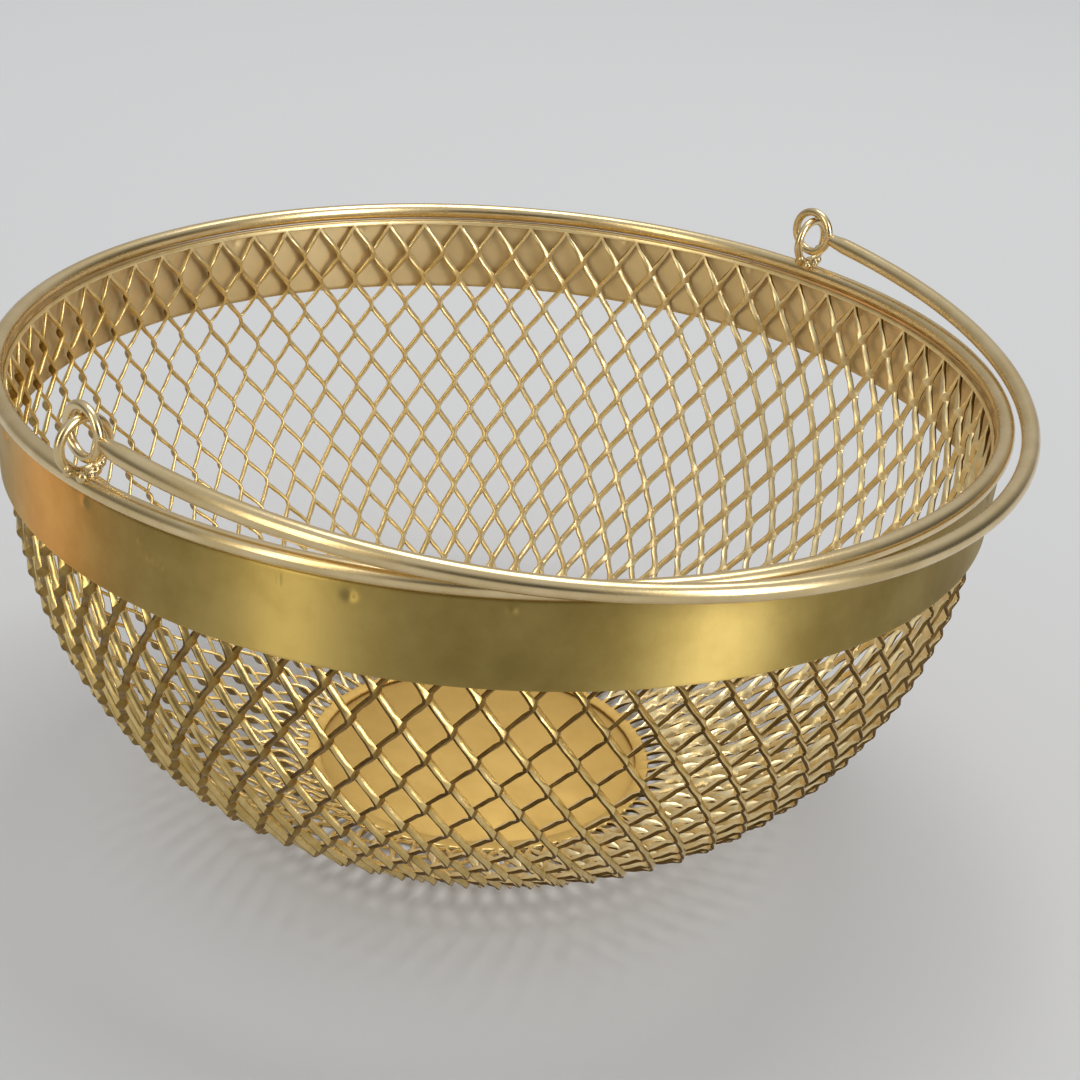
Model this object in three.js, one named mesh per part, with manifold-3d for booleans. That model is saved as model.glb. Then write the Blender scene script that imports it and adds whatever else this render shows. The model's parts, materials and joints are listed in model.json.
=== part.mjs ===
import * as THREE from "three";
import { mergeVertices } from "three/addons/utils/BufferGeometryUtils.js";
import Module from "manifold-3d";

const wasm = await Module();
wasm.setup();

// Millimetres, +Z up. The origin is the middle of the base plate's underside.
// X runs along the handle's pivot line, and the handle lies folded towards -Y.

// Left between two pieces that are welded or seated on each other.
const SEAT_GAP = 0.3;

// Rim: one round wire bent to a circle.
const RIM_RADIUS = 125;
const RIM_WIRE_RADIUS = 2.2;
const RIM_HEIGHT = 118.5;
const RIM_STEPS = 96;
const RIM_WIRE_SIDES = 12;

// Band: a plain sheet strip round the outside, centred under the rim wire and drawn in at its foot.
const BAND_HEIGHT = 21.3;
const BAND_THICKNESS = 0.9;
const BAND_TAPER = 1.1;
const BAND_TOP = RIM_HEIGHT - RIM_WIRE_RADIUS - SEAT_GAP;
const BAND_TOP_RADIUS = RIM_RADIUS + BAND_THICKNESS / 2;
const BAND_FOOT = BAND_TOP - BAND_HEIGHT;
const BAND_FOOT_RADIUS = BAND_TOP_RADIUS - BAND_TAPER;

// Base plate: a plain sheet disc under the mesh's turned-in edge.
const PLATE_RADIUS = 46.5;
const PLATE_THICKNESS = 1.0;
const PLATE_STEPS = 72;

// Mesh bowl: expanded sheet metal, its diamonds in columns that close in towards the base.
const MESH_THICKNESS = 1.4;
const STRAND_WIDTH = 2.0;
const COLUMNS = 40;
const HALF_ROWS = 10;
const SIDE_FULLNESS = 3.1;
const BOTTOM_FULLNESS = 1.8;
const TOP_HEM = 1.5;
const FOOT_HEM = 3.5;
const HEM_OVERHANG = 1;
const MESH_RADIUS = BAND_FOOT_RADIUS - BAND_THICKNESS - SEAT_GAP;
const MESH_FLOOR = PLATE_THICKNESS + SEAT_GAP;
const HEM_RADIUS = PLATE_RADIUS + HEM_OVERHANG;

// Pivot rings: two ears stand on the rim wire, two eyes end the handle, all bent from one wire.
const RING_RADIUS = 5.5;
const RING_WIRE_RADIUS = 1.45;
const EAR_FOOT_SINK = 0.6;
const LINK_CLEARANCE = 0.35;
const RING_STEPS = 24;
const RING_SIDES = 10;
const EAR_HEIGHT = RIM_HEIGHT + RIM_WIRE_RADIUS + RING_WIRE_RADIUS + RING_RADIUS - EAR_FOOT_SINK;
const PIVOT_HEIGHT = EAR_HEIGHT + 2 * RING_WIRE_RADIUS + LINK_CLEARANCE;

// Handle: a round wire bow, half an ellipse, folded until its far end is level with the rim wire.
const ROD_RADIUS = 2.25;
const ROD_OVERREACH = 8.5;
const ROD_STEPS = 72;
const ROD_SIDES = 12;
const ROD_REACH = RIM_RADIUS + ROD_OVERREACH;
const FOLD_ANGLE = Math.asin((PIVOT_HEIGHT - RIM_HEIGHT) / ROD_REACH);

const GOLD = 0xc2a25c;

// The bowl's outer skin from the rim down: straight behind the band, then round, then flat to the hem.
function bowlOutline() {
  const points = [];
  const hemAngle = Math.acos((HEM_RADIUS / MESH_RADIUS) ** (SIDE_FULLNESS / 2));
  const depth = (BAND_FOOT - MESH_FLOOR) / Math.sin(hemAngle) ** (2 / BOTTOM_FULLNESS);
  const straightPoints = 8;
  const roundPoints = 60;
  for (let i = 0; i < straightPoints; i++) {
    const height = THREE.MathUtils.lerp(BAND_TOP, BAND_FOOT, i / straightPoints);
    points.push(new THREE.Vector2(MESH_RADIUS, height));
  }
  for (let i = 0; i <= roundPoints; i++) {
    const angle = hemAngle * i / roundPoints;
    const radius = MESH_RADIUS * Math.cos(angle) ** (2 / SIDE_FULLNESS);
    const height = BAND_FOOT - depth * Math.sin(angle) ** (2 / BOTTOM_FULLNESS);
    points.push(new THREE.Vector2(radius, height));
  }
  points.push(new THREE.Vector2(HEM_RADIUS - FOOT_HEM, MESH_FLOOR));
  const outline = new THREE.SplineCurve(points);
  outline.arcLengthDivisions = 2000;
  return outline;
}

const outline = bowlOutline();
const outlineLength = outline.getLength();
const halfRow = (outlineLength - TOP_HEM - FOOT_HEM) / HALF_ROWS;

// A point of the bowl's sheet: its way down along the outline, its angle about Z, its depth under the skin.
function sheetPoint(distance, angle, depth) {
  const share = distance / outlineLength;
  const point = outline.getPointAt(share);
  const tangent = outline.getTangentAt(share);
  const radius = point.x + tangent.y * depth;
  const height = point.y - tangent.x * depth;
  return [radius * Math.cos(angle), radius * Math.sin(angle), height];
}

// Each crossing is a diamond with four corners, on the outer skin and again on the inner one.
const LEFT = 0;
const RIGHT = 1;
const UP = 2;
const DOWN = 3;

function crossingCorners(row, column) {
  const distance = TOP_HEM + row * halfRow;
  const radius = outline.getPointAt(distance / outlineLength).x;
  const halfPitch = Math.PI * radius / COLUMNS;
  const share = STRAND_WIDTH * Math.hypot(halfPitch, halfRow) / (2 * halfPitch * halfRow);
  const angle = 2 * Math.PI * (column + row % 2 / 2) / COLUMNS;
  const swing = share * Math.PI / COLUMNS;
  const top = row === 0 ? 0 : distance - share * halfRow;
  const bottom = row === HALF_ROWS ? outlineLength : distance + share * halfRow;
  return [[distance, angle - swing], [distance, angle + swing], [top, angle], [bottom, angle]];
}

function meshBowl() {
  const positions = [];
  const triangles = [];
  for (let row = 0; row <= HALF_ROWS; row++) {
    for (let column = 0; column < COLUMNS; column++) {
      for (const [distance, angle] of crossingCorners(row, column)) {
        positions.push(...sheetPoint(distance, angle, 0));
        positions.push(...sheetPoint(distance, angle, MESH_THICKNESS));
      }
    }
  }
  const vertex = ([row, column, corner], skin) => {
    return ((row * COLUMNS + (column + COLUMNS) % COLUMNS) * 4 + corner) * 2 + skin;
  };
  const polygon = (list) => {
    for (let i = 1; i + 1 < list.length; i++) {
      triangles.push(list[0], list[i], list[i + 1]);
    }
  };
  const sheet = (...corners) => {
    polygon(corners.map((corner) => vertex(corner, 0)));
    polygon(corners.map((corner) => vertex(corner, 1)).reverse());
  };
  const edge = (...corners) => {
    for (let i = 0; i + 1 < corners.length; i++) {
      const [from, to] = [corners[i], corners[i + 1]];
      polygon([vertex(from, 0), vertex(to, 0), vertex(to, 1), vertex(from, 1)]);
    }
  };

  for (let column = 0; column < COLUMNS; column++) {
    for (let row = 0; row <= HALF_ROWS; row++) {
      const here = (corner) => [row, column, corner];
      const lower = (side, corner) => [row + 1, column + row % 2 + side, corner];
      sheet(here(LEFT), here(DOWN), here(RIGHT), here(UP));
      if (row === HALF_ROWS) continue;
      // The two strands down to the next row of crossings.
      sheet(here(RIGHT), here(DOWN), lower(0, LEFT), lower(0, UP));
      sheet(here(LEFT), lower(-1, UP), lower(-1, RIGHT), here(DOWN));
      if (row === 0) continue;
      // The diamond opening to the right of this crossing.
      const next = [row, column + 1, LEFT];
      const above = [row - 1, column + row % 2, DOWN];
      edge(above, here(RIGHT), lower(0, UP), next, above);
    }
    // The hems close the half openings at both ends of the sheet.
    const hem = (row, corner) => [row, column, corner];
    const next = (row, corner) => [row, column + 1, corner];
    const last = HALF_ROWS;
    sheet(hem(0, UP), hem(0, RIGHT), next(0, LEFT), next(0, UP));
    edge(hem(0, UP), next(0, UP));
    edge(hem(0, RIGHT), [1, column, UP], next(0, LEFT), hem(0, RIGHT));
    sheet(hem(last, RIGHT), hem(last, DOWN), next(last, DOWN), next(last, LEFT));
    edge(next(last, DOWN), hem(last, DOWN));
    edge(next(last, LEFT), [last - 1, column + last % 2, DOWN], hem(last, RIGHT), next(last, LEFT));
  }
  const geometry = new THREE.BufferGeometry();
  geometry.setAttribute("position", new THREE.Float32BufferAttribute(positions, 3));
  geometry.setIndex(triangles);
  geometry.computeVertexNormals();
  return geometry;
}

// A piece turned about Z from a profile of radius and height pairs.
function turned(profile, steps) {
  const points = profile.map(([radius, height]) => new THREE.Vector2(radius, height));
  return new THREE.LatheGeometry(points, steps).rotateX(Math.PI / 2);
}

function basePlate() {
  const underside = [[0, 0], [PLATE_RADIUS, 0]];
  const upside = [[PLATE_RADIUS, PLATE_THICKNESS], [0, PLATE_THICKNESS]];
  return turned([...underside, ...upside], PLATE_STEPS);
}

function rimBand() {
  const foot = [[BAND_FOOT_RADIUS - BAND_THICKNESS, BAND_FOOT], [BAND_FOOT_RADIUS, BAND_FOOT]];
  const top = [[BAND_TOP_RADIUS, BAND_TOP], [BAND_TOP_RADIUS - BAND_THICKNESS, BAND_TOP]];
  return turned([...foot, ...top, foot[0]], RIM_STEPS);
}

function rimWire(wireRadius) {
  const ring = new THREE.TorusGeometry(RIM_RADIUS, wireRadius, RIM_WIRE_SIDES, RIM_STEPS);
  return ring.translate(0, 0, RIM_HEIGHT);
}

function solid(geometry) {
  const plain = geometry.clone();
  plain.deleteAttribute("normal");
  plain.deleteAttribute("uv");
  const merged = mergeVertices(plain);
  return new wasm.Manifold(new wasm.Mesh({
    numProp: 3,
    vertProperties: merged.attributes.position.array,
    triVerts: new Uint32Array(merged.index.array),
  }));
}

function shape(manifold) {
  const mesh = manifold.getMesh();
  const geometry = new THREE.BufferGeometry();
  geometry.setAttribute("position", new THREE.BufferAttribute(mesh.vertProperties, 3));
  geometry.setIndex(new THREE.BufferAttribute(mesh.triVerts, 1));
  geometry.computeVertexNormals();
  return geometry;
}

function wireRing() {
  return new THREE.TorusGeometry(RING_RADIUS, RING_WIRE_RADIUS, RING_SIDES, RING_STEPS);
}

// An ear stands upright, in line with the pivot line, its foot hollowed to sit on the rim wire.
function ear(side) {
  const ring = wireRing().rotateX(Math.PI / 2).translate(side * RIM_RADIUS, 0, EAR_HEIGHT);
  return shape(solid(ring).subtract(solid(rimWire(RIM_WIRE_RADIUS + SEAT_GAP))));
}

// An eye is square to the pivot line, and the top of its ear passes through it.
function eye(side) {
  return wireRing().rotateY(Math.PI / 2).translate(side * RIM_RADIUS, 0, PIVOT_HEIGHT);
}

// The handle's wire runs from the outside of one eye to the outside of the other.
class Bow extends THREE.Curve {
  getPoint(share) {
    const start = Math.asin((RING_RADIUS + RING_WIRE_RADIUS + SEAT_GAP) / ROD_REACH);
    const angle = THREE.MathUtils.lerp(start, Math.PI - start, share);
    const out = ROD_REACH * Math.sin(angle);
    const height = PIVOT_HEIGHT - out * Math.sin(FOLD_ANGLE);
    return new THREE.Vector3(RIM_RADIUS * Math.cos(angle), -out * Math.cos(FOLD_ANGLE), height);
  }
}

function handleRod() {
  const section = new THREE.Shape();
  section.absarc(0, 0, ROD_RADIUS, 0, 2 * Math.PI);
  return new THREE.ExtrudeGeometry(section, {
    steps: ROD_STEPS,
    curveSegments: ROD_SIDES / 2,
    extrudePath: new Bow(),
  });
}

const basket = new THREE.Group();
basket.name = "wire_gift_basket";

function add(name, geometry) {
  const material = new THREE.MeshStandardMaterial({ color: GOLD, metalness: 0.9, roughness: 0.4 });
  const mesh = new THREE.Mesh(geometry, material);
  mesh.name = name;
  basket.add(mesh);
}

add("mesh_bowl", meshBowl());
add("base_plate", basePlate());
add("rim_band", rimBand());
add("rim_wire", rimWire(RIM_WIRE_RADIUS));
add("ear_left", ear(-1));
add("ear_right", ear(1));
add("bail_rod", handleRod());
add("bail_eye_left", eye(-1));
add("bail_eye_right", eye(1));

export default basket;
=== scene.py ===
import bpy, bmesh, json, math, random
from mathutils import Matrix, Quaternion, Vector

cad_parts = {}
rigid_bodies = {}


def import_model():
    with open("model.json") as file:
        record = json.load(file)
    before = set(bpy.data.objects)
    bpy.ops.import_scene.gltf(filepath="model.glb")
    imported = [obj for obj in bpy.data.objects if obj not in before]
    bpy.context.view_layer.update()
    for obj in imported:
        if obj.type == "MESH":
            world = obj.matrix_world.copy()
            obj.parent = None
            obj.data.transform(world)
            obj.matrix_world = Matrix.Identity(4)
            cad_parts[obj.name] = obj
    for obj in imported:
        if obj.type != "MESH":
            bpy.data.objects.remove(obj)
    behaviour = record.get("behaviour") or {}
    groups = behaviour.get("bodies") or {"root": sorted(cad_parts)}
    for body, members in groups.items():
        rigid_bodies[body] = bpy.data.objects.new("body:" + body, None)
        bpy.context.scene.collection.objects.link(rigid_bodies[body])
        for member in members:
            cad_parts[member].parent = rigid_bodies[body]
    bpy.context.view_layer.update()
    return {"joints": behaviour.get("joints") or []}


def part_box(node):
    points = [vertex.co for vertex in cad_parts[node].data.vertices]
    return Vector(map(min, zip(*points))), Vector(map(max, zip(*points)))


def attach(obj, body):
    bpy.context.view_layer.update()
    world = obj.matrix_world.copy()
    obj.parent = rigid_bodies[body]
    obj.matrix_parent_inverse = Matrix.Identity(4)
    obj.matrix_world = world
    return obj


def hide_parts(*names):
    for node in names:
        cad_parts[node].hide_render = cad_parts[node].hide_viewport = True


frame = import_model()

# The base plate: a disc stamped from sheet steel, spot welded under the mesh and lacquered gold.
# It is the face the basket stands on, and its upper side shows through the mesh as one plain round.
plate_low, plate_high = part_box("base_plate")
plate_radius = plate_high.x
plate_edge = 0.0003
plate_turn_steps = 288
same_point = 1e-7
sharp_edge = math.radians(50)


def show(name, mesh, material, node, body="basket"):
    """Puts a finished mesh in the scene in place of its node."""
    piece = bpy.data.objects.new(name, mesh)
    bpy.context.scene.collection.objects.link(piece)
    mesh.materials.append(material)
    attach(piece, body)
    if node:
        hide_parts(node)
    return piece


def spun_sheet(name, profile, closed, turn_steps, dent=None):
    """Turns radius and height pairs about Z, each point moved out by dent(angle, height)."""
    shape = bmesh.new()
    rings = []
    for step in range(turn_steps):
        angle = 2 * math.pi * step / turn_steps
        ring = []
        for radius, height in profile:
            if dent:
                radius += dent(angle, height)
            place = radius * math.cos(angle), radius * math.sin(angle), height
            ring.append(shape.verts.new(place))
        rings.append(ring)
    spans = len(profile) if closed else len(profile) - 1
    for step in range(turn_steps):
        here, there = rings[step], rings[(step + 1) % turn_steps]
        for low in range(spans):
            high = (low + 1) % len(profile)
            shape.faces.new((here[low], there[low], there[high], here[high]))
    bmesh.ops.remove_doubles(shape, verts=shape.verts, dist=same_point)
    bmesh.ops.recalc_face_normals(shape, faces=shape.faces)
    mesh = bpy.data.meshes.new(name)
    shape.to_mesh(mesh)
    shape.free()
    mesh.shade_smooth()
    mesh.set_sharp_from_angle(angle=sharp_edge)
    return mesh


def gold_lacquer(name, light, dark, roughness, patch_scale, pebble, metallic=1.0):
    """Gold lacquer over steel: tone and gloss drift in soft patches, and the coat is pebbled."""
    dark_until, light_from = 0.34, 0.62
    dull_until, glossy_from = 0.3, 0.7
    gloss_drift = 0.05
    pebble_scale, pebble_height = 900.0, 0.0002
    material = bpy.data.materials.new(name)
    material.use_nodes = True
    nodes, links = material.node_tree.nodes, material.node_tree.links
    shader = nodes["Principled BSDF"]
    shader.inputs["Metallic"].default_value = metallic
    place = nodes.new("ShaderNodeTexCoord")
    patches = nodes.new("ShaderNodeTexNoise")
    patches.inputs["Scale"].default_value = patch_scale
    patches.inputs["Detail"].default_value = 6.0
    patches.inputs["Roughness"].default_value = 0.62
    links.new(place.outputs["Object"], patches.inputs["Vector"])
    tone = nodes.new("ShaderNodeValToRGB")
    tone.color_ramp.elements[0].position = dark_until
    tone.color_ramp.elements[0].color = (*dark, 1.0)
    tone.color_ramp.elements[1].position = light_from
    tone.color_ramp.elements[1].color = (*light, 1.0)
    links.new(patches.outputs["Fac"], tone.inputs["Fac"])
    links.new(tone.outputs["Color"], shader.inputs["Base Color"])
    gloss = nodes.new("ShaderNodeMapRange")
    gloss.inputs["From Min"].default_value = dull_until
    gloss.inputs["From Max"].default_value = glossy_from
    gloss.inputs["To Min"].default_value = roughness + gloss_drift
    gloss.inputs["To Max"].default_value = roughness - gloss_drift
    links.new(patches.outputs["Fac"], gloss.inputs["Value"])
    links.new(gloss.outputs["Result"], shader.inputs["Roughness"])
    coat = nodes.new("ShaderNodeTexNoise")
    coat.inputs["Scale"].default_value = pebble_scale
    coat.inputs["Detail"].default_value = 3.0
    links.new(place.outputs["Object"], coat.inputs["Vector"])
    bump = nodes.new("ShaderNodeBump")
    bump.inputs["Strength"].default_value = pebble
    bump.inputs["Distance"].default_value = pebble_height
    links.new(coat.outputs["Fac"], bump.inputs["Height"])
    links.new(bump.outputs["Normal"], shader.inputs["Normal"])
    return material


plate_gold = gold_lacquer("plate_gold", light=(0.70, 0.475, 0.145), dark=(0.63, 0.42, 0.122),
                          roughness=0.66, patch_scale=60.0, pebble=0.25, metallic=0.7)
plate_profile = [
    (0.0, 0.0),
    (plate_radius - plate_edge, 0.0),
    (plate_radius, plate_edge),
    (plate_radius, plate_high.z - plate_edge),
    (plate_radius - plate_edge, plate_high.z),
    (0.0, plate_high.z),
]
plate_mesh = spun_sheet("Base_Plate", plate_profile, False, plate_turn_steps)
show("Base_Plate", plate_mesh, plate_gold, "base_plate")

# The bowl: raised expanded metal, a steel sheet slit, stretched into diamonds and pressed round.
# Seen from outside, every strand leans steeply right and twists a little from bond to bond.
# Gold lacquer: dark bronze painted shade on one cut edge and on the outward faces of bonds and
# down-left strands, for the dark floor they mirror; paler inside faces as painted light; like the plate
# on the hem.
bowl_low, bowl_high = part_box("mesh_bowl")
band_low, band_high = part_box("rim_band")
bowl_radius = bowl_high.x
hem_overhang = 0.001
hem_width = 0.0035
hem_radius = plate_radius + hem_overhang
hem_inner_radius = hem_radius - hem_width
side_fullness = 3.1
bottom_fullness = 1.8
outline_steps = 400
columns = 70
half_rows = 18
top_hem = 0.0012
foot_hem = 0.0035
sheet_thickness = 0.0009
strand_face = 0.0018
strand_lean = math.radians(50)
strand_twist = math.radians(6)
strand_sway = 0.0001
strand_cuts = 3
strand_edge = 0.00016
strand_share = 0.5
bond_length = 0.0008
bond_azimuth = -135.9
mesh_turn = math.radians(bond_azimuth + 180 / columns)
# Finish slots: plain, the dark cut edge as painted shade, the paler inside as painted light, the dark
# outward face as painted shade, and the hem in the plate's tone.
plain_face, shaded_edge_face, lit_inner_face, shaded_outer_face, hem_face = range(5)


def bowl_outline():
    """The outer skin as radius, height and length so far, from the rim to the hem's inner edge."""
    hem_angle = math.acos((hem_radius / bowl_radius) ** (side_fullness / 2))
    depth = (band_low.z - bowl_low.z) / math.sin(hem_angle) ** (2 / bottom_fullness)
    points = [(bowl_radius, bowl_high.z), (bowl_radius, band_low.z)]
    for step in range(1, outline_steps + 1):
        angle = hem_angle * step / outline_steps
        radius = bowl_radius * math.cos(angle) ** (2 / side_fullness)
        points.append((radius, band_low.z - depth * math.sin(angle) ** (2 / bottom_fullness)))
    points.append((hem_inner_radius, bowl_low.z))
    lengths = [0.0]
    for start, end in zip(points, points[1:]):
        lengths.append(lengths[-1] + math.dist(start, end))
    return points, lengths


outline, lengths = bowl_outline()
half_row = (lengths[-1] - top_hem - foot_hem) / half_rows


def outline_at(way_down, angle):
    """A point of the outer skin, with the directions down along it and out of it."""
    above = 0
    while lengths[above + 1] < way_down and above < len(outline) - 2:
        above += 1
    (r0, z0), (r1, z1) = outline[above], outline[above + 1]
    length = lengths[above + 1] - lengths[above]
    share = (way_down - lengths[above]) / length
    around = Vector((math.cos(angle), math.sin(angle), 0.0))
    down = around * (r1 - r0) / length + Vector((0.0, 0.0, (z1 - z0) / length))
    out = around * (z0 - z1) / length + Vector((0.0, 0.0, (r1 - r0) / length))
    place = around * (r0 + (r1 - r0) * share) + Vector((0.0, 0.0, z0 + (z1 - z0) * share))
    return place, down, out


def bond_corners(row, column):
    """One bond's corners on both faces: top, right up, right down, foot, left down, left up."""
    way_down = top_hem + row * half_row
    angle = mesh_turn + math.pi * (2 * column + row % 2) / columns
    place, down, out = outline_at(way_down, angle)
    radius = math.hypot(place.x, place.y)
    half_pitch = math.pi * radius / columns
    width = min(strand_face * math.cos(strand_lean), strand_share * half_pitch)
    slant = math.hypot(half_pitch, half_row)
    rise = width * slant / (2 * half_pitch)
    swing = width * slant / (2 * half_row)
    in_hem = row in (0, half_rows)
    bond = 0.0 if in_hem else bond_length / 2
    lift = 0.0 if in_hem else width * math.tan(strand_lean)
    right = Vector((-math.sin(angle), math.cos(angle), 0.0))
    face = (out * swing + right * lift).normalized()
    top = 0.0 if row == 0 else way_down - rise - bond
    foot = lengths[-1] if row == half_rows else way_down + rise + bond
    upper, lower = way_down - bond, way_down + bond
    pairs = []
    for stop, shift in ((top, 0), (upper, 1), (lower, 1), (foot, 0), (lower, -1), (upper, -1)):
        outer = outline_at(stop, angle + shift * swing / radius)[0] - out * lift * (1 + shift)
        pairs.append((outer, outer - face * sheet_thickness))
    return pairs, down, out


def expanded_sheet():
    """The whole mesh: bonds row by row, and the strands from each down to the two below it."""
    shape = bmesh.new()
    bonds = {}
    for row in range(half_rows + 1):
        for column in range(columns):
            pairs, down, out = bond_corners(row, column)
            corner_pairs = [tuple(shape.verts.new(point) for point in pair) for pair in pairs]
            bonds[row, column] = corner_pairs, down, out

    def corners(row, column, names):
        places = ["top", "right up", "right down", "foot", "left down", "left up"]
        bond = bonds[row, column % columns][0]
        return [bond[places.index(name)] for name in names.split(", ")]

    # Outer face in the given finish; inner face in the paler inside finish, which is painted light.
    def faces(*pairs, outside=plain_face, inside=lit_inner_face):
        shape.faces.new([outer for outer, inner in reversed(pairs)]).material_index = outside
        shape.faces.new([inner for outer, inner in pairs]).material_index = inside

    def cut_edge(start, end, finish=plain_face):
        shape.faces.new((start[0], end[0], end[1], start[1])).material_index = finish

    def strand(near_start, near_end, far_start, far_end, down, out, outside):
        """One strand between two bonds, swayed and twisted a little on the way."""
        starts = near_start[0].co, far_start[0].co
        ends = near_end[0].co, far_end[0].co
        along = (ends[0] + ends[1] - starts[0] - starts[1]).normalized()
        last_near, last_far = near_start, far_start
        for cut in range(1, strand_cuts + 1):
            if cut == strand_cuts:
                near, far = near_end, far_end
            else:
                share = cut / strand_cuts
                sway = math.sin(2 * math.pi * share)
                near_point, far_point = [start.lerp(end, share) for start, end in zip(starts, ends)]
                half = (near_point - far_point) / 2
                side = (half - along * half.dot(along)).normalized()
                normal = along.cross(side)
                if normal.dot(out) < 0:
                    normal = -normal
                turn = strand_twist * sway * (1 if along.cross(normal).dot(out) > 0 else -1)
                twist = Quaternion(along, turn)
                half, normal = twist @ half, twist @ normal
                centre = (near_point + far_point) / 2
                centre += side * strand_sway * sway * (1 if side.dot(down) > 0 else -1)
                near, far = [
                    (shape.verts.new(edge), shape.verts.new(edge - normal * sheet_thickness))
                    for edge in (centre + half, centre - half)
                ]
            faces(last_near, near, far, last_far, outside=outside)
            cut_edge(last_near, near)
            # The far cut edge takes the dark painted-shade finish.
            cut_edge(last_far, far, shaded_edge_face)
            last_near, last_far = near, far

    for column in range(columns):
        for row in range(half_rows + 1):
            beside = column + row % 2
            down, out = bonds[row, column][1:]
            if row == 0:
                top, right, foot, left = corners(row, column, "top, right down, foot, left down")
                next_top, next_left = corners(row, column + 1, "top, left down")
                faces(top, right, foot, left)
                faces(top, next_top, next_left, right)
                cut_edge(next_top, top)
                cut_edge(right, next_left)
            elif row == half_rows:
                top, right, foot, left = corners(row, column, "top, right up, foot, left up")
                next_foot, next_left = corners(row, column + 1, "foot, left up")
                faces(top, right, foot, left, inside=hem_face)
                faces(right, next_left, next_foot, foot, inside=hem_face)
                cut_edge(foot, next_foot)
                cut_edge(right, next_left)
            else:
                ring = corners(row, column, "top, right up, right down, foot, left down, left up")
                # The bond's outward face and its left cut edge are dark bronze as painted shade.
                faces(*ring, outside=shaded_outer_face)
                cut_edge(*corners(row, column, "right up, right down"))
                cut_edge(*corners(row, column, "left down, left up"), shaded_edge_face)
            if row < half_rows:
                right, foot, left = corners(row, column, "right down, foot, left down")
                right_top, right_side = corners(row + 1, beside, "top, left up")
                left_side, left_top = corners(row + 1, beside - 1, "right up, top")
                strand(right, right_top, foot, right_side, down, out, outside=plain_face)
                # The strand down to the left has a dark bronze outward face as painted shade.
                strand(foot, left_side, left, left_top, down, out, outside=shaded_outer_face)
    loose = [corner for corner in shape.verts if not corner.link_faces]
    bmesh.ops.delete(shape, geom=loose, context="VERTS")
    bmesh.ops.recalc_face_normals(shape, faces=shape.faces)
    mesh = bpy.data.meshes.new("Bowl_Mesh")
    shape.to_mesh(mesh)
    shape.free()
    mesh.shade_smooth()
    return mesh


mesh_gold = gold_lacquer("mesh_gold", light=(0.84, 0.63, 0.28), dark=(0.62, 0.44, 0.15),
                         roughness=0.30, patch_scale=180.0, pebble=0.20)
# Painted shade: the cut edges carry the same lacquer, darkened here for the shade and dark room they
# mirror.
sheared_painted_shade = gold_lacquer("sheared_painted_shade", light=(0.20, 0.115, 0.03), dark=(0.10, 0.055, 0.014),
                            roughness=0.48, patch_scale=260.0, pebble=0.50)
# Painted light: the inside faces are paler and less metallic, for the light falling into the bowl.
inner_painted_light = gold_lacquer("inner_painted_light", light=(0.94, 0.78, 0.45), dark=(0.82, 0.64, 0.32),
                          roughness=0.35, patch_scale=180.0, pebble=0.20, metallic=0.8)
# Painted shade and painted reflection: dark bronze outward faces of bonds and one strand family, for
# the shadowed floor they mirror.
outer_painted_shade = gold_lacquer("outer_painted_shade", light=(0.42, 0.28, 0.09), dark=(0.25, 0.155, 0.045),
                          roughness=0.42, patch_scale=220.0, pebble=0.35)
bowl = show("Bowl_Mesh", expanded_sheet(), mesh_gold, "mesh_bowl")
for finish in (sheared_painted_shade, inner_painted_light, outer_painted_shade, plate_gold):
    bowl.data.materials.append(finish)
rounding = bowl.modifiers.new("Rounded_Edges", "BEVEL")
rounding.width = strand_edge
rounding.segments = 1
rounding.limit_method = "ANGLE"
rounding.angle_limit = math.radians(35)

# The band: a strip of plain sheet steel closed to a hoop round the mouth, spot welded to the mesh.
# Its weld marks show as small dimples near the top, and it is drawn in a little towards its foot.
# The strip was rolled along its length, so its fine grain pulls reflections into upright streaks.
band_thickness = 0.0009
band_top_radius = band_high.x
band_taper = 0.0011
band_foot_radius = band_top_radius - band_taper
band_edge = 0.0002
band_rows = 40
band_turn_steps = 1440
rolling_waves = [(0.00012, 3, 0.6), (0.00008, 7, 2.0)]
# A weld mark has an azimuth and a drop below the top edge; a speck has an azimuth, a height and a size.
weld_marks = [(-148.8, -0.0030), (-133.9, -0.0023), (-112.3, -0.0013), (-91.0, -0.0025),
              (-70.5, -0.0030)]
weld_marks += [(-48.0 + 19.0 * mark, -0.0024 + 0.0006 * math.sin(2.7 * mark)) for mark in range(13)]
sunken_from = -0.0029
mark_radius = 0.0011
mark_height = 0.00042
specks = [(-170.6, 0.1082, 0.0008), (-169.2, 0.1072, 0.0006), (-171.8, 0.1113, 0.0006),
          (-93.5, 0.1052, 0.0006)]
speck_height = 0.00022
nick_azimuth = -155.7
nick_top, nick_foot, nick_width, nick_depth = 0.1150, 0.1118, 0.00030, 0.00012
fade_out = 3


def along_band(angle, azimuth):
    """Length along the band from an azimuth in degrees to an angle in radians."""
    turn = (angle - math.radians(azimuth) + math.pi) % (2 * math.pi) - math.pi
    return turn * band_top_radius


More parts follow.
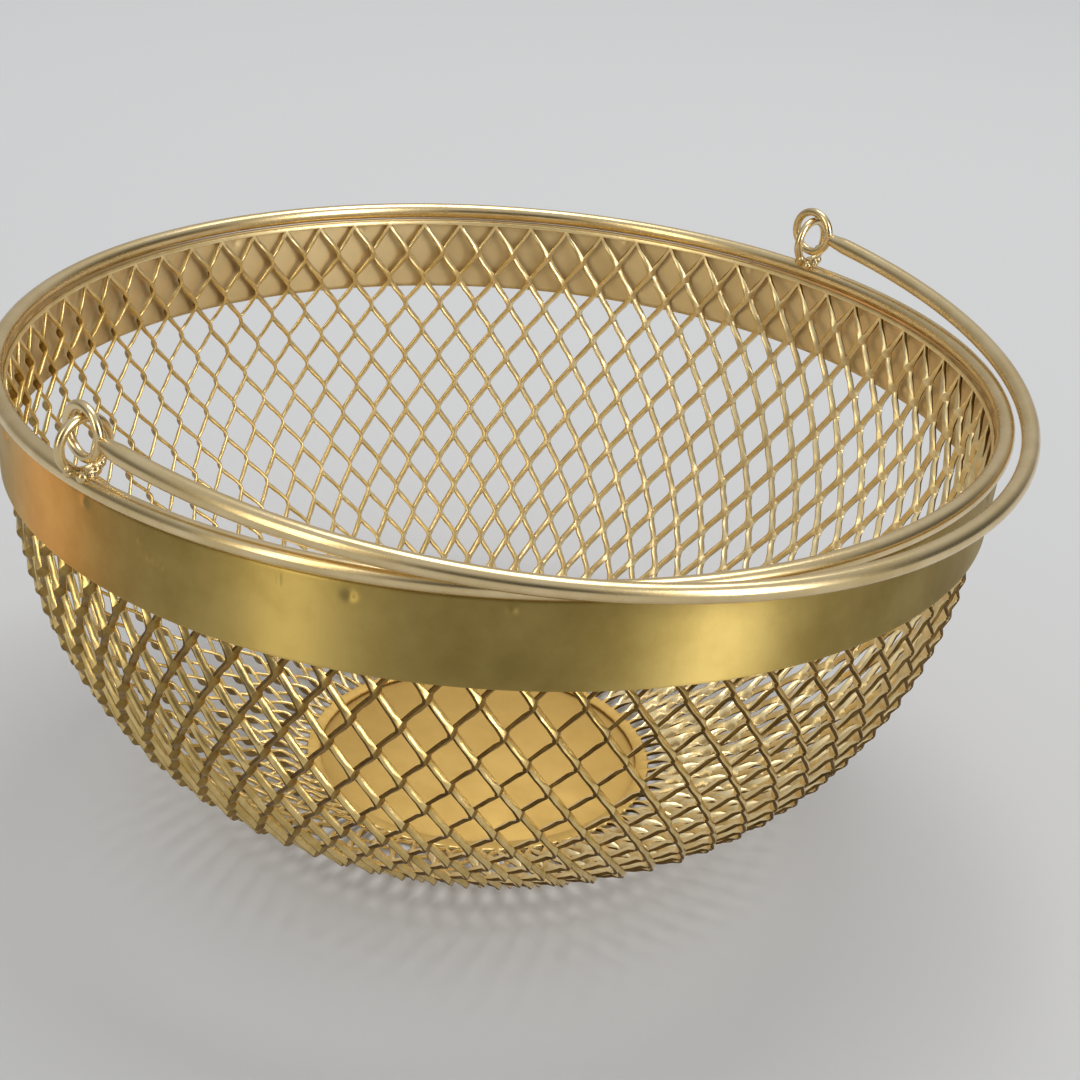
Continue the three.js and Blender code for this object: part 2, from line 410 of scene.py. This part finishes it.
def band_dent(angle, height):
    """Outward shift of the band: long waves from rolling, weld dimples, specks and one nick."""
    shift = sum(tall * math.sin(count * angle + start) for tall, count, start in rolling_waves)
    for azimuth, drop in weld_marks:
        off = math.hypot(along_band(angle, azimuth), height - band_high.z - drop) / mark_radius
        if off < fade_out:
            shift += mark_height * math.exp(-off * off) * (1 if drop > sunken_from else -1)
    for azimuth, speck_place, size in specks:
        off = math.hypot(along_band(angle, azimuth), height - speck_place) / size
        if off < fade_out:
            shift += speck_height * math.exp(-off * off)
    off = abs(along_band(angle, nick_azimuth)) / nick_width
    if off < fade_out and nick_foot < height < nick_top:
        shift -= nick_depth * math.exp(-off * off)
    return shift


def band_profile():
    """Round the strip's section: up the outside, over the top edge, down the inside."""
    band_height = band_high.z - band_low.z
    outside = []
    for row in range(band_rows + 1):
        height = band_low.z + band_edge + (band_height - 2 * band_edge) * row / band_rows
        radius = band_foot_radius + band_taper * (height - band_low.z) / band_height
        outside.append((radius, height))
    foot, top = outside[0], outside[-1]
    over = [(top[0] - band_edge, band_high.z), (top[0] - band_thickness + band_edge, band_high.z)]
    inside = [(radius - band_thickness, height) for radius, height in reversed(outside[::2])]
    below = [(foot[0] - band_thickness + band_edge, band_low.z), (foot[0] - band_edge, band_low.z)]
    return outside + over + inside + below


# The band's olive is the lacquer's own tone, darkened as painted shade for the dark room its outside
# mirrors.
band_gold_and_shade = gold_lacquer("band_gold_and_shade", light=(0.57, 0.425, 0.14), dark=(0.47, 0.34, 0.10),
                         roughness=0.50, patch_scale=45.0, pebble=0.06)
rolled_skin = band_gold_and_shade.node_tree.nodes["Principled BSDF"]
rolled_skin.inputs["Anisotropic"].default_value = 0.95
rolled_skin.inputs["Anisotropic Rotation"].default_value = 0.25
rolling_way = band_gold_and_shade.node_tree.nodes.new("ShaderNodeTangent")
rolling_way.direction_type = "RADIAL"
rolling_way.axis = "Z"
band_gold_and_shade.node_tree.links.new(rolling_way.outputs["Tangent"], rolled_skin.inputs["Tangent"])
# Painted light: the band's inside is paler and less metallic than its outside, for the light falling
# into the bowl.
band_inside_painted_light = gold_lacquer("band_inside_painted_light", light=(0.80, 0.63, 0.345), dark=(0.70, 0.54, 0.275),
                           roughness=0.48, patch_scale=45.0, pebble=0.10, metallic=0.75)
band_mesh = spun_sheet("Rim_Band", band_profile(), True, band_turn_steps, band_dent)
show("Rim_Band", band_mesh, band_gold_and_shade, "rim_band")
band_mesh.materials.append(band_inside_painted_light)
# Faces that look inward take the paler painted-light finish.
for face in band_mesh.polygons:
    if face.normal.x * face.center.x + face.normal.y * face.center.y < 0:
        face.material_index = 1

# The rim: one round steel wire bent to a circle, butt welded, and spot welded on the band and mesh.
# The ears and the handle are bent from round wire too, and all of it has the same gold lacquer.
rim_low, rim_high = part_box("rim_wire")
wire_radius = (rim_high.z - rim_low.z) / 2
rim_radius = rim_high.x - wire_radius
rim_height = (rim_high.z + rim_low.z) / 2
rim_steps = 360
rim_waves = 5
rim_wave_height = 0.00010
thick_wire_sides = 24


def tube(name, centres, radii, sides, closed):
    """A round wire along points with a radius at each, capped unless it closes on itself."""
    nearly_upright = 0.9
    shape = bmesh.new()
    count = len(centres)
    rings = []
    normal = None
    for step, centre in enumerate(centres):
        before = centres[step - 1] if step or closed else centre
        after = centres[(step + 1) % count] if step + 1 < count or closed else centre
        along = (after - before).normalized()
        if normal is None:
            normal = along.orthogonal().normalized()
            if closed:
                upright = abs(along.z) >= nearly_upright
                normal = Vector((1.0, 0.0, 0.0)) if upright else Vector((0.0, 0.0, 1.0))
        normal = (normal - along * normal.dot(along)).normalized()
        across = along.cross(normal)
        ring = []
        for side in range(sides):
            turn = 2 * math.pi * side / sides
            reach = (normal * math.cos(turn) + across * math.sin(turn)) * radii[step]
            ring.append(shape.verts.new(centre + reach))
        rings.append(ring)
    for step in range(count if closed else count - 1):
        here, there = rings[step], rings[(step + 1) % count]
        for side in range(sides):
            other = (side + 1) % sides
            shape.faces.new((here[side], there[side], there[other], here[other]))
    if not closed:
        shape.faces.new(rings[0])
        shape.faces.new(rings[-1])
    bmesh.ops.recalc_face_normals(shape, faces=shape.faces)
    mesh = bpy.data.meshes.new(name)
    shape.to_mesh(mesh)
    shape.free()
    mesh.shade_smooth()
    mesh.set_sharp_from_angle(angle=sharp_edge)
    return mesh


wire_gold = gold_lacquer("wire_gold", light=(0.81, 0.64, 0.36), dark=(0.67, 0.51, 0.25),
                         roughness=0.25, patch_scale=70.0, pebble=0.04)
rim_path = []
for step in range(rim_steps):
    angle = 2 * math.pi * step / rim_steps
    reach = rim_radius + rim_wave_height * math.sin(rim_waves * angle)
    rim_path.append(Vector((reach * math.cos(angle), reach * math.sin(angle), rim_height)))
rim_mesh = tube("Rim_Wire", rim_path, [wire_radius] * rim_steps, thick_wire_sides, closed=True)
show("Rim_Wire", rim_mesh, wire_gold, "rim_wire")

# The ears: rings of thinner wire, stood on the rim at both ends of the pivot line and welded on.
# The handle's eyes are linked through them, and each weld is a rough string of small lumps.
ring_wire = 0.00115
ring_steps = 96
thin_wire_sides = 20
ear_growth = 0.0003
weld_lumps = 15
weld_reach = math.radians(55)
weld_jitter = 0.7
weld_spread = 0.0014
weld_drop = -0.0009, -0.0003
lump_size = 0.0010, 0.0018
lump_taper = 0.2
weld_grain = 0.0002
random.seed(7)


def ring_path(node, along, growth=0.0):
    """The centreline of an upright ring in line with along. Growth lifts its top twice as much."""
    low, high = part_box(node)
    outer = (high.x - low.x) / 2 if node.startswith("ear") else (high.z - low.z) / 2
    radius = outer - ring_wire + growth
    centre = (low + high) / 2
    centre.z = high.z - outer + growth
    path = []
    for step in range(ring_steps):
        turn = 2 * math.pi * step / ring_steps - math.pi / 2
        lift = Vector((0, 0, radius * math.sin(turn)))
        path.append(centre + along * radius * math.cos(turn) + lift)
    return path


def weld_string(name, ring):
    """Lumps of weld along the foot of a ring, run together into one skin."""
    shape = bmesh.new()
    for lump in range(weld_lumps):
        shake = random.uniform(-weld_jitter, weld_jitter)
        turn = weld_reach * (2 * (lump + shake) / (weld_lumps - 1) - 1)
        place = ring[round(turn / (2 * math.pi) * ring_steps) % ring_steps].copy()
        across = random.uniform(-weld_spread, weld_spread)
        place += Vector((0.0, across, random.uniform(*weld_drop)))
        size = random.uniform(*lump_size) * (1 - lump_taper * abs(turn) / weld_reach)
        made = bmesh.ops.create_icosphere(shape, subdivisions=3, radius=size)
        bmesh.ops.translate(shape, verts=made["verts"], vec=place)
    mesh = bpy.data.meshes.new(name)
    shape.to_mesh(mesh)
    shape.free()
    return mesh


for side in ("left", "right"):
    name = "Ear_" + side.title()
    path = ring_path("ear_" + side, Vector((1, 0, 0)), ear_growth)
    ear = tube(name, path, [ring_wire] * ring_steps, thin_wire_sides, closed=True)
    show(name, ear, wire_gold, "ear_" + side)
    weld_name = "Ear_Weld_" + side.title()
    weld = show(weld_name, weld_string(weld_name, path), wire_gold, None)
    one_skin = weld.modifiers.new("One_Skin", "REMESH")
    one_skin.mode = "VOXEL"
    one_skin.voxel_size = weld_grain
    one_skin.use_smooth_shade = True

# The handle: a bow of thick round wire with an eye of thinner wire welded across each end.
# It hangs by its eyes in the ears, swings freely, and folds down to the rim on either side.
pivot = Vector(frame["joints"][0]["pos_m"])
rod_wire = 0.00225
rod_reach = 0.1335
rod_steps = 240
rod_neck = 0.007
rod_neck_wire = 0.0017
neck_steps = 20
rod_nose = 0.0016
eye_gap = 0.0002
fold = math.asin((pivot.z - rim_height) / rod_reach)
eye_path = ring_path("bail_eye_left", Vector((0, 1, 0)))
eye_radius = (max(point.y for point in eye_path) - min(point.y for point in eye_path)) / 2


def bow_point(angle):
    """A point of the folded bow's centreline, from the left end at 0 to the right one at pi."""
    out = rod_reach * math.sin(angle)
    across = rim_radius * math.cos(angle)
    return Vector((across, -out * math.cos(fold), pivot.z - out * math.sin(fold)))


rod_path, rod_radii = [], []
first_angle = math.asin((eye_radius + eye_gap) / rod_reach)
neck_angle = rod_neck / rod_reach
rod_angles = [first_angle + neck_angle * step / neck_steps for step in range(neck_steps)]
long_start = first_angle + neck_angle
rod_angles += [long_start + (math.pi - 2 * long_start) * step / rod_steps
               for step in range(rod_steps + 1)]
rod_angles += [math.pi - angle for angle in reversed(rod_angles[:neck_steps])]
for angle in rod_angles:
    rod_path.append(bow_point(angle))
    run = min(angle - first_angle, math.pi - first_angle - angle) / neck_angle
    swell = min(1.0, max(0.0, run))
    swell = swell * swell * (3 - 2 * swell)
    nose = 1 - min(1.0, (run * rod_neck + eye_gap) / rod_nose)
    thickness = rod_neck_wire + (rod_wire - rod_neck_wire) * swell
    rod_radii.append(thickness * math.sqrt(1 - nose * nose))
rod_mesh = tube("Handle_Rod", rod_path, rod_radii, thick_wire_sides, closed=False)
show("Handle_Rod", rod_mesh, wire_gold, "bail_rod", body="handle")
for side in ("left", "right"):
    name = "Handle_Eye_" + side.title()
    path = ring_path("bail_eye_" + side, Vector((0, 1, 0)))
    eye = tube(name, path, [ring_wire] * ring_steps, thin_wire_sides, closed=True)
    show(name, eye, wire_gold, "bail_eye_" + side, body="handle")

# The studio: a pale floor running out of sight, a soft surround, and four wide soft boxes.
# The surround is brighter overhead and dim behind the camera, so that the gold can mirror a room.
# The boxes at the sides light the basket alone, to keep the floor even, and the warm one its band.
floor_radius = 12.0
floor_steps = 96
floor_tone = 0.76, 0.755, 0.74, 1.0
wall_tones = [(-180, 0.42), (-165, 0.45), (-148, 0.05), (-118, 0.04), (-100, 0.75), (-76, 0.70),
              (-56, 0.10), (-25, 0.10), (20, 0.50), (85, 0.42), (150, 0.14), (180, 0.50)]
wall_green, wall_blue = 0.985, 0.96
wall_top, ceiling_start = 0.30, 0.85
ceiling_tone = 0.56, 0.58, 0.62, 1.0
lamp_aim = Vector((0.0, 0.0, 0.08))
floor_mesh = bpy.data.meshes.new("Floor")
floor_shape = bmesh.new()
bmesh.ops.create_circle(floor_shape, cap_ends=True, segments=floor_steps, radius=floor_radius)
floor_shape.to_mesh(floor_mesh)
floor_shape.free()
floor = bpy.data.objects.new("Floor", floor_mesh)
bpy.context.scene.collection.objects.link(floor)
floor_paint = bpy.data.materials.new("floor_paper")
floor_paint.use_nodes = True
floor_shader = floor_paint.node_tree.nodes["Principled BSDF"]
floor_shader.inputs["Base Color"].default_value = floor_tone
floor_shader.inputs["Roughness"].default_value = 0.9
floor_mesh.materials.append(floor_paint)

world = bpy.data.worlds.new("Surround")
bpy.context.scene.world = world
world.use_nodes = True
world_nodes, world_links = world.node_tree.nodes, world.node_tree.links
look_way = world_nodes.new("ShaderNodeTexCoord")
parts_of_way = world_nodes.new("ShaderNodeSeparateXYZ")
world_links.new(look_way.outputs["Generated"], parts_of_way.inputs["Vector"])
compass = world_nodes.new("ShaderNodeMath")
compass.operation = "ARCTAN2"
world_links.new(parts_of_way.outputs["Y"], compass.inputs[0])
world_links.new(parts_of_way.outputs["X"], compass.inputs[1])
compass_share = world_nodes.new("ShaderNodeMapRange")
compass_share.inputs["From Min"].default_value = -math.pi
compass_share.inputs["From Max"].default_value = math.pi
world_links.new(compass.outputs["Value"], compass_share.inputs["Value"])
walls = world_nodes.new("ShaderNodeValToRGB")
walls.color_ramp.interpolation = "EASE"
while len(walls.color_ramp.elements) < len(wall_tones):
    walls.color_ramp.elements.new(0.5)
for stop, (azimuth, tone) in zip(walls.color_ramp.elements, wall_tones):
    stop.position = (azimuth + 180) / 360
    stop.color = (tone, tone * wall_green, tone * wall_blue, 1.0)
world_links.new(compass_share.outputs["Result"], walls.inputs["Fac"])
height_share = world_nodes.new("ShaderNodeMapRange")
height_share.interpolation_type = "SMOOTHSTEP"
height_share.inputs["From Min"].default_value = wall_top
height_share.inputs["From Max"].default_value = ceiling_start
world_links.new(parts_of_way.outputs["Z"], height_share.inputs["Value"])
surround = world_nodes.new("ShaderNodeMix")
surround.data_type = "RGBA"
surround.inputs["B"].default_value = ceiling_tone
world_links.new(height_share.outputs["Result"], surround.inputs["Factor"])
world_links.new(walls.outputs["Color"], surround.inputs["A"])
world_links.new(surround.outputs["Result"], world_nodes["Background"].inputs["Color"])
bpy.context.scene.view_settings.view_transform = "Standard"

basket_pieces = bpy.data.collections.new("Basket_Pieces")
band_alone = bpy.data.collections.new("Band_Alone")
for piece in bpy.context.scene.objects:
    if piece.type == "MESH" and piece != floor:
        basket_pieces.objects.link(piece)
    if piece.name == "Rim_Band":
        band_alone.objects.link(piece)


def soft_box(name, azimuth, distance, height, width, tall, brightness,
             tint=(1.0, 1.0, 1.0), lights=None):
    """A rectangular lamp facing the basket, for all or one collection; azimuth from +X to +Y."""
    lamp = bpy.data.lights.new(name, "AREA")
    lamp.shape = "RECTANGLE"
    lamp.size, lamp.size_y = width, tall
    lamp.energy = brightness * math.pi * width * tall
    lamp.color = tint
    box = bpy.data.objects.new(name, lamp)
    turn = math.radians(azimuth)
    box.location = (distance * math.cos(turn), distance * math.sin(turn), height)
    aim = lamp_aim - box.location
    box.rotation_mode = "QUATERNION"
    box.rotation_quaternion = aim.to_track_quat("-Z", "Y")
    box.visible_camera = False
    box.light_linking.receiver_collection = lights
    bpy.context.scene.collection.objects.link(box)


soft_box("Overhead", azimuth=20, distance=0.7, height=2.2, width=1.2, tall=1.2, brightness=4.4)
soft_box("Left_Box", azimuth=-177, distance=1.6, height=0.75, width=0.35, tall=1.4, brightness=4.2,
         tint=(1.0, 0.92, 0.70), lights=basket_pieces)
soft_box("Warm_Box", azimuth=120, distance=1.6, height=0.55, width=0.60, tall=1.0, brightness=2.4,
         tint=(1.0, 0.42, 0.10), lights=band_alone)
soft_box("Right_Box", azimuth=-88, distance=1.6, height=0.75, width=0.50, tall=1.4, brightness=6.2,
         tint=(1.0, 0.99, 0.97), lights=basket_pieces)

# The camera: hand height, close to the basket, looking across the mouth from between the ears.
# It is aimed at the middle of the mouth and then turned a little to place the basket in the frame.
camera_distance = 0.5087
camera_azimuth = -136.0
camera_elevation = 21.0
camera_pan = 1.35
camera_tilt = 5.07
camera_roll = 4.06
film_width, focal_length = 36.0, 66.8
nearest, farthest = 0.01, 100.0
lens = bpy.data.cameras.new("Camera")
lens.sensor_width = film_width
lens.lens = focal_length
lens.clip_start = nearest
lens.clip_end = farthest
camera = bpy.data.objects.new("Camera", lens)
bpy.context.scene.collection.objects.link(camera)
turn, rise = math.radians(camera_azimuth), math.radians(camera_elevation)
away = Vector((math.cos(turn) * math.cos(rise), math.sin(turn) * math.cos(rise), math.sin(rise)))
camera.location = Vector((0.0, 0.0, rim_height)) + away * camera_distance
look = (-away).to_track_quat("-Z", "Y")
look = look @ Quaternion((0, 1, 0), math.radians(-camera_pan))
look = look @ Quaternion((1, 0, 0), math.radians(-camera_tilt))
look = look @ Quaternion((0, 0, 1), math.radians(camera_roll))
camera.rotation_mode = "QUATERNION"
camera.rotation_quaternion = look
bpy.context.scene.camera = camera
